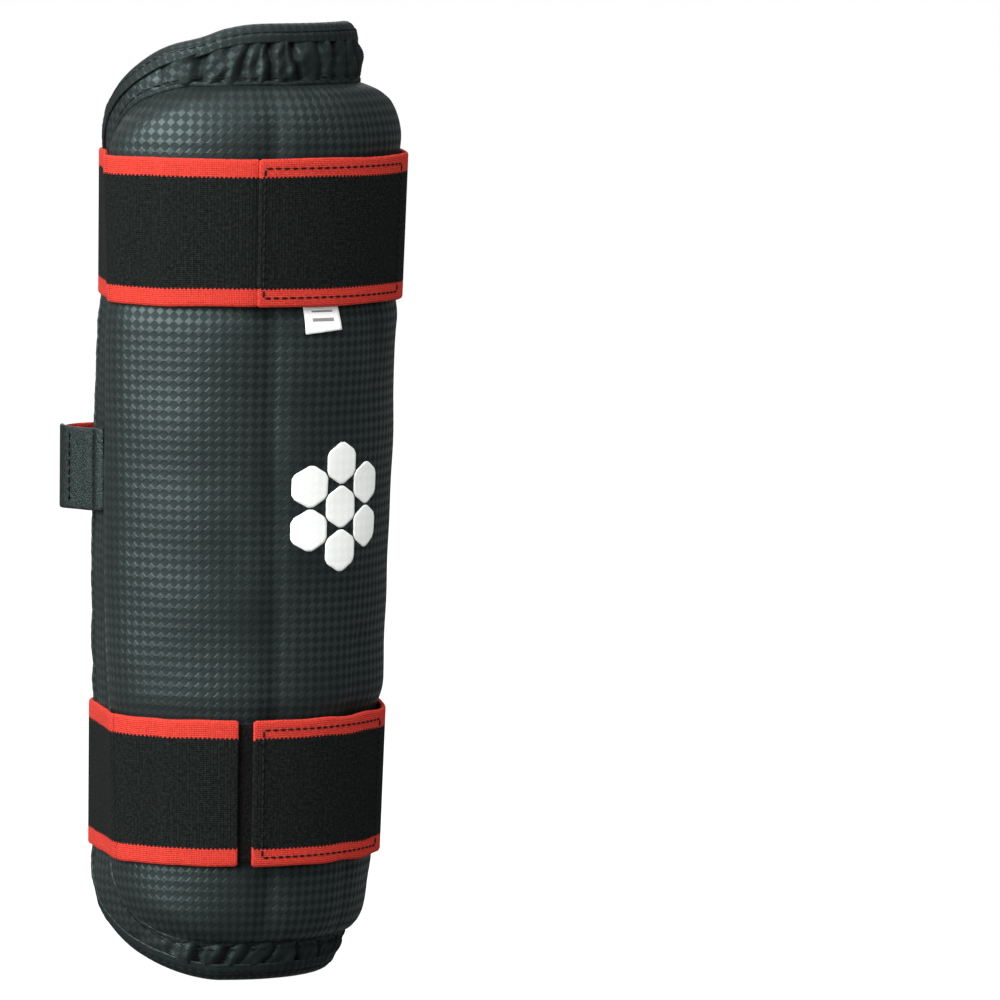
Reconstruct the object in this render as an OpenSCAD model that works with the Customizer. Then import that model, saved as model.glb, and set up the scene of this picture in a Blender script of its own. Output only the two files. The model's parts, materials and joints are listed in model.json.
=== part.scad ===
// Padded forearm guard: a curved shell with a three-panel pad, two wide hook-and-loop straps and a
// narrow elastic stay. The arm runs along Z through the channel, and the front of the guard faces -Y.
// The origin is the middle of the arm channel. Angles run round the arm from the front, towards +X.

/* [Shell] */
// Radius of the arm channel
channel_r = 35; // [30:0.5:37]
// Height of the guard along the arm
guard_h = 298; // [290:1:320]
// Thickness of the lining
lining_t = 0.8; // [0.5:0.1:1]
// Thickness of the foam sheet in the flange
base_foam_t = 4; // [2:0.5:4]
// Thickness of the flange's cover
cover_t = 0.8; // [0.5:0.1:1]
// Angle from the front to the edge of the sewn panel
panel_angle = 126; // [115:1:128]
// Width of the folded edge binding
binding_w = 4.5; // [3:0.5:6]
// How far the binding stands proud of the flange's cover
binding_proud = 0.8; // [0.3:0.1:1]
// Angle at which the panel's corners begin
corner_angle = 40; // [35:1:50]
// Height of the two upper corners
corner_top_h = 45; // [35:1:50]
// Height of the two lower corners
corner_bottom_h = 33; // [28:1:45]
// Fullness of the corners: 2 is an ellipse, and less is flatter
corner_power = 1.5; // [1.3:0.1:2]

/* [Pad] */
// Outer radius of the pad at mid height
pad_mid_r = 50.7; // [49:0.1:52]
// Growth of the pad's radius for each millimetre up the arm
pad_taper = 0.032; // [0:0.004:0.04]
// Gap from the guard's top to the pad's top
pad_top_gap = 19; // [18:1:24]
// Gap from the guard's bottom to the pad's bottom
pad_bottom_gap = 13; // [12:1:20]
// Angle from the front to the pad's side seam
pad_angle = 101; // [98:1:104]
// Angle at which the pad's corners begin
pad_corner_angle = 44; // [36:1:52]
// Height of the pad's corners
pad_corner_h = 27; // [20:1:32]
// Width of the rounding along the pad's sides
pad_side_round = 30; // [26:0.5:31]
// Length of the rounding at the pad's two ends
pad_end_round = 18; // [10:1:19]
// Angle from the front to each of the two grooves
groove_angle = 18; // [15:1:22]
// Depth of the grooves
groove_depth = 2.4; // [1:0.1:3.5]
// Half width of the grooves, as an angle
groove_spread = 4; // [3:0.5:5]
// Thickness of the pad's cover
skin_t = 0.9; // [0.6:0.1:1.2]

/* [Straps] */
// Width of the strap webbing
strap_w = 45.8; // [40:0.1:48]
// Thickness of the strap webbing
strap_t = 1.6; // [1:0.1:2]
// Height of the upper strap's middle over the channel's middle
upper_strap_z = 85.6; // [80:0.1:86]
// Height of the lower strap's middle over the channel's middle
lower_strap_z = -88; // [-94:0.1:-84]
// Angle of the upper tab's free end
upper_tab_end = -27; // [-30:0.5:-20]
// Angle of the lower tab's free end
lower_tab_end = -27.5; // [-30:0.5:-20]
// Gap between the upper band's end and the tab's free end, as an angle
upper_end_gap = 0.6; // [0.5:0.1:6]
// Gap between the lower band's end and the tab's free end, as an angle
lower_end_gap = 5; // [0.5:0.1:6]
// Thickness of the hook tape and of the loop tape
tape_t = 1.2; // [0.8:0.1:1.5]
// Angle from the front to the hinges at the pad's shoulders
shoulder_angle = 97; // [95:1:99]
// Angle of the bend in the tab
tab_bend_angle = 40; // [36:1:50]
// Angle of the bend in the band
band_bend_angle = -64; // [-70:1:-62]
// Right-hand end of the loop tape, as an angle
loop_end_angle = 28; // [20:1:28]

/* [Mid stay] */
// Width of the elastic stay
stay_w = 25; // [20:1:30]
// Thickness of the elastic stay
stay_t = 1.3; // [1:0.1:1.6]
// Height of the stay's middle over the channel's middle
stay_z = 9; // [0:1:20]
// How far the slack of the stay bulges out at the left
stay_bulge = 9.5; // [4:0.5:12]
// Thickness of the tab that the stay is sewn to
stay_tab_t = 1.2; // [0.8:0.1:1.6]

/* [Label and mark] */
// Width of the blank label
label_w = 11.5; // [8:0.5:16]
// Visible length of the blank label
label_l = 8; // [6:0.5:14]
// Angle of the label's middle from the front
label_angle = -5; // [-10:1:10]
// Distance between neighbouring cells of the mark
mark_pitch = 13.6; // [10:0.1:14]
// Size of each cell of the mark, from its middle to a corner
mark_cell_r = 7; // [4:0.1:7.4]
// Angle of the mark's middle from the front
mark_angle = 6; // [-10:1:10]

/* [Hidden] */

$fn = 96;
half_h = guard_h / 2;
sewn_gap = 0.05;        // between pieces that are sewn or glued face to face
free_gap = 0.3;         // between pieces that move past each other
slack = 5;              // how far a cutting outline reaches past what it cuts
end_clearance = 0.15;   // from a bend in a strap to the end of each run that meets there

// Radii of the shell's layers
lining_r = channel_r + lining_t;
foam_r = lining_r + base_foam_t;
cover_r = foam_r + cover_t;
foam_inset_angle = 5;
foam_end_gap = 16;

// Where the shell's corners start, and how tall the sewn panel's own corners are
corner_top_z = half_h - corner_top_h;
corner_bottom_z = corner_bottom_h - half_h;
binding_angle = binding_w / cover_r * 180 / PI;
binding_gap_angle = 0.4;
binding_edge_round = 1.4;

// The elastics that gather the two collars
elastic_w = 4;
elastic_t = 1.8;
elastic_angle = 62;
elastic_end_gap = 10;

// The pad's grid: rows up the arm, and columns round it
pad_top_z = half_h - pad_top_gap;
pad_bottom_z = pad_bottom_gap - half_h;
pad_mid_z = (pad_top_z + pad_bottom_z) / 2;
pad_half_h = (pad_top_z - pad_bottom_z) / 2;
pad_in_r = cover_r + 0.45;
pad_rows = 24;
center_columns = 4;
side_columns = 10;
columns = center_columns + 1 + side_columns;
quilt_half_angle = 0.5; // half of the gap between two foam blocks

// Colours
black_vinyl = [0.10, 0.11, 0.11];
black_webbing = [0.07, 0.07, 0.07];
black_cloth = [0.14, 0.14, 0.14];
tape_black = [0.04, 0.04, 0.04];
foam_grey = [0.45, 0.45, 0.45];
print_white = [0.95, 0.95, 0.93];

function clamp01(q) = min(1, max(0, q));
function ease(q) = let (c = clamp01(q)) c * c * (3 - 2 * c);
function spot(a, r) = [r * sin(a), -r * cos(a)];
function spot3(a, r, z) = [r * sin(a), -r * cos(a), z];
function rounding(q) = sqrt(1 - pow(1 - clamp01(q), 2));
function corner_point(turn, a_len, h) =
    [corner_angle + a_len * pow(cos(turn), 2 / corner_power), h * pow(sin(turn), 2 / corner_power)];

// ---- Shell ----

// A layer round the arm, from the front to an angle on each side
module sector(r_in, r_out, angle, z0, z1) {
    rotate([0, 0, -90 - angle])
        rotate_extrude(angle = 2 * angle)
            translate([r_in, z0]) square([r_out - r_in, z1 - z0]);
}

// Side view of a layer, with its rounded corners, at the layer's own radius
module side_outline(r, angle, top_h, bottom_h) {
    turns = 16;
    top = [for (i = [0 : turns]) let (c = corner_point(90 - 90 * i / turns, angle - corner_angle, top_h))
        [-r * cos(c[0]), corner_top_z + c[1]]];
    bottom = [for (i = [0 : turns])
        let (c = corner_point(90 * i / turns, angle - corner_angle, bottom_h))
        [-r * cos(c[0]), corner_bottom_z - c[1]]];
    back = -r * cos(angle) + slack;
    front = -r - slack;
    polygon(concat(
        [[front, corner_top_z + top_h]], top, [[back, corner_top_z], [back, corner_bottom_z]],
        bottom, [[front, corner_bottom_z - bottom_h]]
    ));
}

module shell_layer(r_in, r_out, angle, top_h, bottom_h) {
    intersection() {
        sector(r_in, r_out, angle, corner_bottom_z - bottom_h, corner_top_z + top_h);
        rotate([90, 0, 90])
            linear_extrude(height = 4 * r_out, center = true)
                side_outline((r_in + r_out) / 2, angle, top_h, bottom_h);
    }
}

module panel_layer(r_in, r_out) {
    shell_layer(r_in, r_out, panel_angle, corner_top_h - binding_w, corner_bottom_h - binding_w);
}

module lining() {
    color(black_cloth) panel_layer(channel_r, lining_r);
}

module base_foam() {
    color(foam_grey)
        shell_layer(
            lining_r + sewn_gap, foam_r - sewn_gap, panel_angle - foam_inset_angle,
            corner_top_h - foam_end_gap, corner_bottom_h - foam_end_gap
        );
}

module base_cover() {
    color(black_vinyl) panel_layer(foam_r, cover_r);
}

module gather_elastic(z) {
    middle_r = (lining_r + foam_r) / 2;
    color(black_webbing)
        sector(middle_r - elastic_t / 2, middle_r + elastic_t / 2, elastic_angle, z, z + elastic_w);
}

module gather_elastic_top() {
    gather_elastic(half_h - elastic_end_gap - elastic_w);
}

module gather_elastic_bottom() {
    gather_elastic(elastic_end_gap - half_h);
}

// The shell's edge as one closed loop of [angle, height], grown by a share of the binding's width
corner_turns = 10;
top_steps = 12;
function edge_corner(grow, side, up) = [
    for (i = [0 : corner_turns])
        let (
            turn = 90 * (side == up ? i : corner_turns - i) / corner_turns,
            a_len = panel_angle - corner_angle + binding_gap_angle + grow * binding_angle,
            full_h = up > 0 ? corner_top_h : corner_bottom_h,
            c = corner_point(turn, a_len, full_h - binding_w + sewn_gap + grow * binding_w)
        )
        [side * c[0], up > 0 ? corner_top_z + c[1] : corner_bottom_z - c[1]]
];
function edge_run(a0, a1, z) = [for (i = [1 : top_steps - 1]) [a0 + (a1 - a0) * i / top_steps, z]];
function edge_loop(grow) =
    let (
        top_z = half_h - binding_w + sewn_gap + grow * binding_w,
        c = corner_angle
    )
    concat(
        edge_corner(grow, 1, 1), edge_run(c, -c, top_z), edge_corner(grow, -1, 1),
        edge_corner(grow, -1, -1), edge_run(-c, c, -top_z), edge_corner(grow, 1, -1)
    );

module edge_binding() {
    inner = edge_loop(0);
    outer = edge_loop(1);
    n = len(inner);
    low_r = channel_r + 0.1;
    high_r = cover_r + binding_proud;
    points = concat(
        [for (p = inner) spot3(p[0], low_r, p[1])],
        [for (p = outer) spot3(p[0], low_r + binding_edge_round, p[1])],
        [for (p = outer) spot3(p[0], high_r - binding_edge_round, p[1])],
        [for (p = inner) spot3(p[0], high_r, p[1])]
    );
    faces = [for (k = [0 : 3], i = [0 : n - 1])
        let (a = k * n + i, b = k * n + (i + 1) % n, c = (k + 1) % 4 * n + (i + 1) % n, d = (k + 1) % 4 * n + i)
        each [[a, c, b], [a, d, c]]];
    color(black_vinyl) polyhedron(points, faces, convexity = 8);
}

// ---- Pad ----

function pad_r(z) = pad_mid_r + pad_taper * z;
function row_z(i) = pad_mid_z + pad_half_h * sin(-90 + 180 * i / pad_rows);
function side_angle(z) =
    let (e = clamp01(max(z - pad_top_z + pad_corner_h, pad_bottom_z + pad_corner_h - z) / pad_corner_h))
    pad_corner_angle + (pad_angle - pad_corner_angle) * sqrt(1 - e * e);
function column_angle(j, z) =
    let (
        n = abs(j),
        edge = groove_angle + quilt_half_angle,
        share = (1 - cos(180 * (n - center_columns - 1) / side_columns)) / 2
    )
    sign(j) * (n <= center_columns
        ? (groove_angle - quilt_half_angle) * sin(90 * n / center_columns)
        : edge + (side_angle(z) - edge) * share);
function foam_t(a, z) =
    let (
        side = (side_angle(z) - abs(a)) * PI / 180 * pad_mid_r / pad_side_round,
        end = min(pad_top_z - z, z - pad_bottom_z) / pad_end_round,
        groove = groove_depth * exp(-pow((abs(a) - groove_angle) / groove_spread, 2))
    )
    (pad_r(z) - skin_t - pad_in_r - groove) * rounding(side) * rounding(end);

// A closed slab between two surfaces that share a grid of rows i0-i1 and columns j0-j1.
// low and high give the radii under and over each point of the grid.
module pad_slab(i0, i1, j0, j1, low, high) {
    wide = j1 - j0 + 1;
    tall = i1 - i0 + 1;
    count = wide * tall;
    grid = [for (i = [i0 : i1], j = [j0 : j1]) let (z = row_z(i)) [column_angle(j, z), z]];
    points = concat(
        [for (g = grid) spot3(g[0], high(g[0], g[1]), g[1])],
        [for (g = grid) spot3(g[0], low(g[0], g[1]), g[1])]
    );
    skins = [for (i = [0 : tall - 2], j = [0 : wide - 2])
        let (a = i * wide + j, b = a + 1, c = a + wide + 1, d = a + wide)
        each [[a, c, b], [a, d, c], [a + count, b + count, c + count], [a + count, c + count, d + count]]];
    rim = concat(
        [for (j = [0 : wide - 1]) j],
        [for (i = [1 : tall - 1]) i * wide + wide - 1],
        [for (j = [wide - 2 : -1 : 0]) (tall - 1) * wide + j],
        [for (i = [tall - 2 : -1 : 1]) i * wide]
    );
    walls = [for (k = [0 : len(rim) - 1])
        let (a = rim[k], b = rim[(k + 1) % len(rim)])
        each [[a, b, b + count], [a, b + count, a + count]]];
    polyhedron(points, concat(skins, walls), convexity = 6);
}

module pad_foam(j0, j1) {
    color(foam_grey)
        pad_slab(
            1, pad_rows - 1, j0, j1,
            function (a, z) pad_in_r, function (a, z) pad_in_r + foam_t(a, z) - sewn_gap
        );
}

module pad_foam_left() {
    pad_foam(1 - columns, -center_columns - 1);
}

module pad_foam_center() {
    pad_foam(-center_columns, center_columns);
}

module pad_foam_right() {
    pad_foam(center_columns + 1, columns - 1);
}

module pad_cover() {
    color(black_vinyl)
        pad_slab(
            0, pad_rows, -columns, columns,
            function (a, z) pad_in_r + foam_t(a, z), function (a, z) pad_in_r + foam_t(a, z) + skin_t
        );
}

// A thin layer on the front of the pad, which follows its taper
print_gap = 0.15;
print_t = 0.5;
module front_layer(angle, z0, z1) {
    low = pad_r(z0) + print_gap;
    high = pad_r(z1) + print_gap;
    rotate([0, 0, angle])
        intersection() {
            rotate([0, 0, -90 - 60])
                rotate_extrude(angle = 120)
                    polygon([[low, z0], [low + print_t, z0], [high + print_t, z1], [high, z1]]);
            rotate([90, 0, 0]) linear_extrude(height = 2 * pad_mid_r) children();
        }
}

module size_label() {
    top = upper_strap_z - strap_w / 2 - free_gap;
    color(print_white)
        front_layer(label_angle, top - label_l, top)
            translate([-label_w / 2, top - label_l]) square([label_w, label_l]);
}

module front_emblem() {
    reach = mark_pitch + mark_cell_r;
    color(print_white)
        front_layer(mark_angle, -reach, reach) {
            for (k = [0 : 5]) rotate(60 * k) translate([0, mark_pitch]) circle(r = mark_cell_r, $fn = 6);
            circle(r = mark_cell_r, $fn = 6);
        }
}

// ---- Straps ----

back_angle = 132;
straight_angle = 96;
back_r = cover_r + binding_proud + 1.1;
lay_gap = 0.35;         // between the pad and a strap that lies on it
tab_lift = 2 * tape_t + free_gap + sewn_gap;
band_lift = tape_t + sewn_gap;
step_angle = 4;

function front_r(strap_z) = pad_r(strap_z + strap_w / 2) + lay_gap;
// Radius on the rounded side of the pad, for a strap with radius r on the pad's front
function hug_r(a, r) =
    let (side = (pad_angle - abs(a)) * PI / 180 * pad_mid_r / pad_side_round, rim = pad_in_r + skin_t + lay_gap)
    rim + (r - rim) * rounding(side);
// Radius at which a ray at angle a meets the straight run from the pad's shoulder to the flange's edge
function straight_r(a, r) =
    let (p = spot(straight_angle, hug_r(straight_angle, r)), run = spot(back_angle, back_r) - p, ray = spot(a, 1))
    (p[0] * run[1] - p[1] * run[0]) / (ray[0] * run[1] - ray[1] * run[0]);
function lay_r(a, strap_z) =
    let (r = front_r(strap_z), b = abs(a))
    b <= straight_angle ? hug_r(b, r) : b < back_angle ? straight_r(b, r) : back_r;
function tab_rise(a) = tab_lift * (1 - ease((a - 30) / 30));
function band_rise(a) = band_lift * ease((a - band_bend_angle - 1) / 6);
function end_angle(r) = end_clearance / r * 180 / PI;

// A run of tape from angle a0 to a1, standing on edge: radius under it at each angle, and thickness
module tape_run(a0, a1, z, width, thickness, under) {
    n = ceil((a1 - a0) / step_angle);
    angles = [for (i = [0 : n]) a0 + (a1 - a0) * i / n];
    translate([0, 0, z - width / 2])
        linear_extrude(height = width)
            polygon(concat(
                [for (a = angles) spot(a, under(a) + thickness)],
                [for (i = [n : -1 : 0]) spot(angles[i], under(angles[i]))]
            ));
}

module back_span(z) {
    cut = shoulder_angle + end_angle(lay_r(shoulder_angle, z));
    color(black_webbing)
        tape_run(cut, 360 - cut, z, strap_w, strap_t, function (a) lay_r(a > 180 ? 360 - a : a, z));
}

module tab_inner(z) {
    cut = end_angle(front_r(z));
    color(black_webbing)
        tape_run(
            tab_bend_angle + cut, shoulder_angle - cut, z, strap_w, strap_t,
            function (a) lay_r(a, z) + tab_rise(a)
        );
}

module tab_outer(z, tab_end) {
    color(black_webbing)
        tape_run(
            tab_end, tab_bend_angle - end_angle(front_r(z)), z, strap_w, strap_t,
            function (a) front_r(z) + tab_rise(a)
        );
}

patch_margin = 1.2;
module hook_patch(z, tab_end) {
    under = front_r(z) + tape_t + free_gap;
    color(tape_black)
        tape_run(
            tab_end + patch_margin, loop_end_angle + patch_margin, z, strap_w - 2 * patch_margin,
            tape_t, function (a) under
        );
}

module band_inner(z) {
    cut = end_angle(front_r(z));
    color(black_webbing)
        tape_run(
            -shoulder_angle + cut, band_bend_angle - cut, z, strap_w, strap_t,
            function (a) lay_r(a, z)
        );
}

module band_outer(z, band_end) {
    color(black_webbing)
        tape_run(
            band_bend_angle + end_angle(front_r(z)), band_end, z, strap_w, strap_t,
            function (a) front_r(z) + band_rise(a)
        );
}

module loop_patch(z) {
    color(tape_black)
        tape_run(
            band_bend_angle + 8, loop_end_angle, z, strap_w - 2 * patch_margin, tape_t,
            function (a) front_r(z)
        );
}

module upper_back_span() { back_span(upper_strap_z); }
module upper_tab_inner() { tab_inner(upper_strap_z); }
module upper_tab_outer() { tab_outer(upper_strap_z, upper_tab_end); }
module upper_hook_patch() { hook_patch(upper_strap_z, upper_tab_end); }
module upper_band_inner() { band_inner(upper_strap_z); }
module upper_band_outer() { band_outer(upper_strap_z, upper_tab_end - upper_end_gap); }
module upper_loop_patch() { loop_patch(upper_strap_z); }
module lower_back_span() { back_span(lower_strap_z); }
module lower_tab_inner() { tab_inner(lower_strap_z); }
module lower_tab_outer() { tab_outer(lower_strap_z, lower_tab_end); }
module lower_hook_patch() { hook_patch(lower_strap_z, lower_tab_end); }
module lower_band_inner() { band_inner(lower_strap_z); }
module lower_band_outer() { band_outer(lower_strap_z, lower_tab_end - lower_end_gap); }
module lower_loop_patch() { loop_patch(lower_strap_z); }

// ---- Mid stay ----

// The stay leaves the right flange, crosses the back, and bulges out past the left flange
stay_start = 116;
stay_end = 254;
bulge_angle = 233;
bulge_spread = 17;
stay_rest_r = cover_r + sewn_gap;
function stay_r(a) =
    let (
        over_binding = (binding_proud + 0.3) * ease((a - stay_start - 2) / 5) * ease((stay_end - 3 - a) / 5),
        q = (a - bulge_angle) / bulge_spread
    )
    stay_rest_r + over_binding + (abs(q) < 1 ? stay_bulge * pow(cos(90 * q), 2) : 0);

module mid_band() {
    color(black_webbing)
        tape_run(stay_start, stay_end, stay_z, stay_w, stay_t, function (a) stay_r(a));
}

module mid_tab() {
    color(black_vinyl)
        tape_run(
            bulge_angle - 2, stay_end, stay_z, stay_w + 1, stay_tab_t,
            function (a) stay_r(a) + stay_t + free_gap
        );
}

lining();
base_foam();
base_cover();
gather_elastic_top();
gather_elastic_bottom();
pad_foam_left();
pad_foam_center();
pad_foam_right();
pad_cover();
edge_binding();
size_label();
front_emblem();
mid_band();
mid_tab();
upper_back_span();
upper_tab_inner();
upper_tab_outer();
upper_hook_patch();
upper_band_inner();
upper_band_outer();
upper_loop_patch();
lower_back_span();
lower_tab_inner();
lower_tab_outer();
lower_hook_patch();
lower_band_inner();
lower_band_outer();
lower_loop_patch();
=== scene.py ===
import json
import math

import bmesh
import bpy
import mathutils
import numpy as np
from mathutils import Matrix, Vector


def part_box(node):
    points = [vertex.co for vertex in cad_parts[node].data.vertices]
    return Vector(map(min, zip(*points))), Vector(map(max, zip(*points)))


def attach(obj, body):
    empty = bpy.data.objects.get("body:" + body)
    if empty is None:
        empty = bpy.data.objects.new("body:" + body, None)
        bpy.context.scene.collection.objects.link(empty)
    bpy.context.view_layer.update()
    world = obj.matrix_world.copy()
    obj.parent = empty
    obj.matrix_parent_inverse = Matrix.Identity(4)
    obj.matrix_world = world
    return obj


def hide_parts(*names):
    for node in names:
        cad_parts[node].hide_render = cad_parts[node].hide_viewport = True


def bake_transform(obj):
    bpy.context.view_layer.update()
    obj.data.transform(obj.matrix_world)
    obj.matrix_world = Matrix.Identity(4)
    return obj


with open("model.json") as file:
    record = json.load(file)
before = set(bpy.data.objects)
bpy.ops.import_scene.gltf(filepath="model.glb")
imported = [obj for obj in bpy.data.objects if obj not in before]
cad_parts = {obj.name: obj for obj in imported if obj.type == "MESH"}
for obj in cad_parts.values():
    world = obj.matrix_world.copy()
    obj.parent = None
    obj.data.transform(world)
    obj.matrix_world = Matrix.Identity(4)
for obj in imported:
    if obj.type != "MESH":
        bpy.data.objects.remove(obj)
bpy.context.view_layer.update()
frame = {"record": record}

# The looks of a padded forearm guard. Lengths are in metres, angles in degrees round the arm from the
# guard's front (-Y) towards +X, and heights along +Z, as in the frame.

MM = 0.001
RANDOM = np.random.default_rng(7)


# ---------------------------------------------------------------- sizes, from the frame

def box_top(node):
    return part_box(node)[1].z


def box_bottom(node):
    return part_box(node)[0].z


def box_middle(node):
    return (box_top(node) + box_bottom(node)) / 2


def box_radius(node):
    """Outer radius of a layer that reaches round the side of the arm."""
    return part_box(node)[1].x


CHANNEL_R = frame["record"]["mounts"][0]["dims"]["r_mm"] * MM
LINING_R = box_radius("lining")
FOAM_R = box_radius("base_foam")
COVER_R = box_radius("base_cover")
GUARD_TOP = box_top("edge_binding")
GUARD_BOTTOM = box_bottom("edge_binding")
PANEL_TOP = box_top("base_cover")
PANEL_BOTTOM = box_bottom("base_cover")
PAD_TOP = box_top("pad_cover")
PAD_BOTTOM = box_bottom("pad_cover")
PAD_MID = box_middle("pad_cover")

BINDING_W = GUARD_TOP - PANEL_TOP
PANEL_ANGLE = 126
CORNER_ANGLE = 40
CORNER_POWER_TOP = 1.3
CORNER_POWER_BOTTOM = 1.55
CORNER_TOP_Z = GUARD_TOP - 45 * MM
CORNER_BOTTOM_Z = GUARD_BOTTOM + 33 * MM
TOP_SAG, SAG_ANGLE, SAG_REACH = 2.6 * MM, -49, 15
COLLAR_TOP_Z, COLLAR_BOTTOM_Z = 122 * MM, -116 * MM

PAD_MID_R = 50.7 * MM
PAD_TAPER = 0.032
PAD_ANGLE = 101
PAD_CORNER_ANGLE = 44
PAD_CORNER_H = 27 * MM
PAD_SIDE_SLOPE = 26 * MM
PAD_END_ROUND = 18 * MM
PAD_FOOT_ROUND = 13 * MM
PAD_RIM_R = COVER_R + 0.45 * MM
SKIN_T = 0.9 * MM
GROOVE_ANGLE = 19
GROOVE_DEPTH = 1.7 * MM
PLUMP = 1.6 * MM

STRAPS = {
    side: {"low": box_bottom(node), "middle": box_middle(node), "high": box_top(node)}
    for side, node in (("upper", "upper_tab_outer"), ("lower", "lower_tab_outer"))
}
UPPER_MID, LOWER_MID = (STRAPS[side]["middle"] for side in STRAPS)

UV_UNIT = 0.1  # metres to one unit of every piece's unrolled UV map
UV_MM = UV_UNIT / MM


# ---------------------------------------------------------------- small maths

def clamp01(q):
    return np.clip(q, 0, 1)


def ease(q):
    c = clamp01(q)
    return c * c * (3 - 2 * c)


def rounding(q):
    return np.sqrt(1 - (1 - clamp01(q)) ** 2)


def slope(q):
    """A padded edge that leaves its seam at an angle and rounds over to the full height."""
    return np.sin(np.pi / 2 * clamp01(q)) ** 1.15


def hump(x, middle, reach, power=2):
    """1 at the middle, falling to about a third one reach away; a higher power has steeper sides."""
    return np.exp(-np.abs((x - middle) / reach) ** power)


def polar(angle, radius, z):
    """Points in the frame, from angles in degrees, radii and heights."""
    turn, radius, z = np.broadcast_arrays(np.radians(angle), radius, z)
    return np.stack([radius * np.sin(turn), -radius * np.cos(turn), z], axis=-1)


def toward(azimuth, elevation):
    """Unit vector that points away from the guard, with both angles in degrees."""
    return polar(azimuth, math.cos(math.radians(elevation)), math.sin(math.radians(elevation)))


def waves(seed, count, shortest, longest):
    """A smooth random field over (arc, height): a function of two arrays in metres, about -1 to 1."""
    rng = np.random.default_rng(seed)
    length = rng.uniform(shortest, longest, count)
    turn = rng.uniform(0, 2 * np.pi, count)
    phase = rng.uniform(0, 2 * np.pi, count)

    def field(s, z):
        total = 0
        for k in range(count):
            way = s * np.cos(turn[k]) + z * np.sin(turn[k])
            total = total + np.sin(2 * np.pi * way / length[k] + phase[k])
        return total / math.sqrt(count)

    return field


def spread(n):
    """n + 1 values from -1 to 1, closer together near both ends."""
    return np.sin(np.linspace(-np.pi / 2, np.pi / 2, n + 1))


# ---------------------------------------------------------------- mesh building

def face_outwards(mesh):
    shell = bmesh.new()
    shell.from_mesh(mesh)
    bmesh.ops.recalc_face_normals(shell, faces=shell.faces)
    shell.to_mesh(mesh)
    shell.free()


def mesh_object(name, points, faces, uvs):
    """A smooth-shaded object from vertices, faces and one UV for each vertex."""
    mesh = bpy.data.meshes.new(name)
    mesh.from_pydata([tuple(p) for p in points], [], faces)
    face_outwards(mesh)
    layer = mesh.uv_layers.new(name="cloth")
    corners = np.zeros(len(mesh.loops), dtype=np.int64)
    mesh.loops.foreach_get("vertex_index", corners)
    layer.data.foreach_set("uv", (np.asarray(uvs)[corners] / UV_UNIT).astype(np.float32).ravel())
    mesh.polygons.foreach_set("use_smooth", [True] * len(mesh.polygons))
    return add_object(name, mesh)


def add_object(name, data):
    obj = bpy.data.objects.new(name, data)
    bpy.context.scene.collection.objects.link(obj)
    return obj


def grid_faces(rows, cols, start=0, wrap=False):
    """Quads between rows x cols vertices; wrap closes the columns into a loop."""
    faces = []
    last = cols if wrap else cols - 1
    for i in range(rows - 1):
        for j in range(last):
            a = start + i * cols + j
            b = start + i * cols + (j + 1) % cols
            faces.append((a, b, b + cols, a + cols))
    return faces


def flipped(faces):
    return [face[::-1] for face in faces]


def tube_faces(rows, ring, start=0):
    """Faces of a tube of rows rings of vertices, capped at both ends."""
    last = start + (rows - 1) * ring
    caps = [tuple(range(start, start + ring))[::-1], tuple(range(last, last + ring))]
    return grid_faces(rows, ring, start, wrap=True) + caps


def slab(name, outer, inner, uv):
    """A closed skin between two grids of the same shape, outer side outwards."""
    rows, cols = outer.shape[:2]
    count = rows * cols
    faces = grid_faces(rows, cols) + flipped(grid_faces(rows, cols, count))
    rim = list(range(cols))
    rim += [i * cols + cols - 1 for i in range(1, rows)]
    rim += [(rows - 1) * cols + j for j in range(cols - 2, -1, -1)]
    rim += [i * cols for i in range(rows - 2, 0, -1)]
    for a, b in zip(rim, rim[1:] + rim[:1]):
        faces.append((b, a, a + count, b + count))
    points = np.concatenate([outer.reshape(-1, 3), inner.reshape(-1, 3)])
    return mesh_object(name, points, faces, np.concatenate([uv.reshape(-1, 2)] * 2))


def loft(name, rings, uv, closed=False):
    """A tube through rings of points (n, m, 3), capped at its ends unless it closes on itself."""
    n, m = rings.shape[:2]
    faces = tube_faces(n, m)
    if closed:
        last = (n - 1) * m
        faces[-2:] = [(last + j, last + (j + 1) % m, (j + 1) % m, j) for j in range(m)]
    return mesh_object(name, rings.reshape(-1, 3), faces, uv.reshape(-1, 2))


def sweep(name, columns, uvs, closed=False):
    """A tube from one column of points along it for each point of its section."""
    return loft(name, np.stack(columns, axis=1), np.stack(uvs, axis=1), closed)


def finish_piece(obj, material, body="shell", replaces=()):
    """Material, slot, body and the CAD nodes that the piece stands for."""
    obj.data.materials.append(material)
    if body:
        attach(obj, body)
    if replaces:
        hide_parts(*replaces)


# ---------------------------------------------------------------- materials

def arithmetic(operation, swapped=False):
    """An operator of Value, made of one math node."""
    def work_out(self, *others):
        values = (*others, self) if swapped else (self, *others)
        return self.graph.math(operation, *values)

    return work_out


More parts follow.
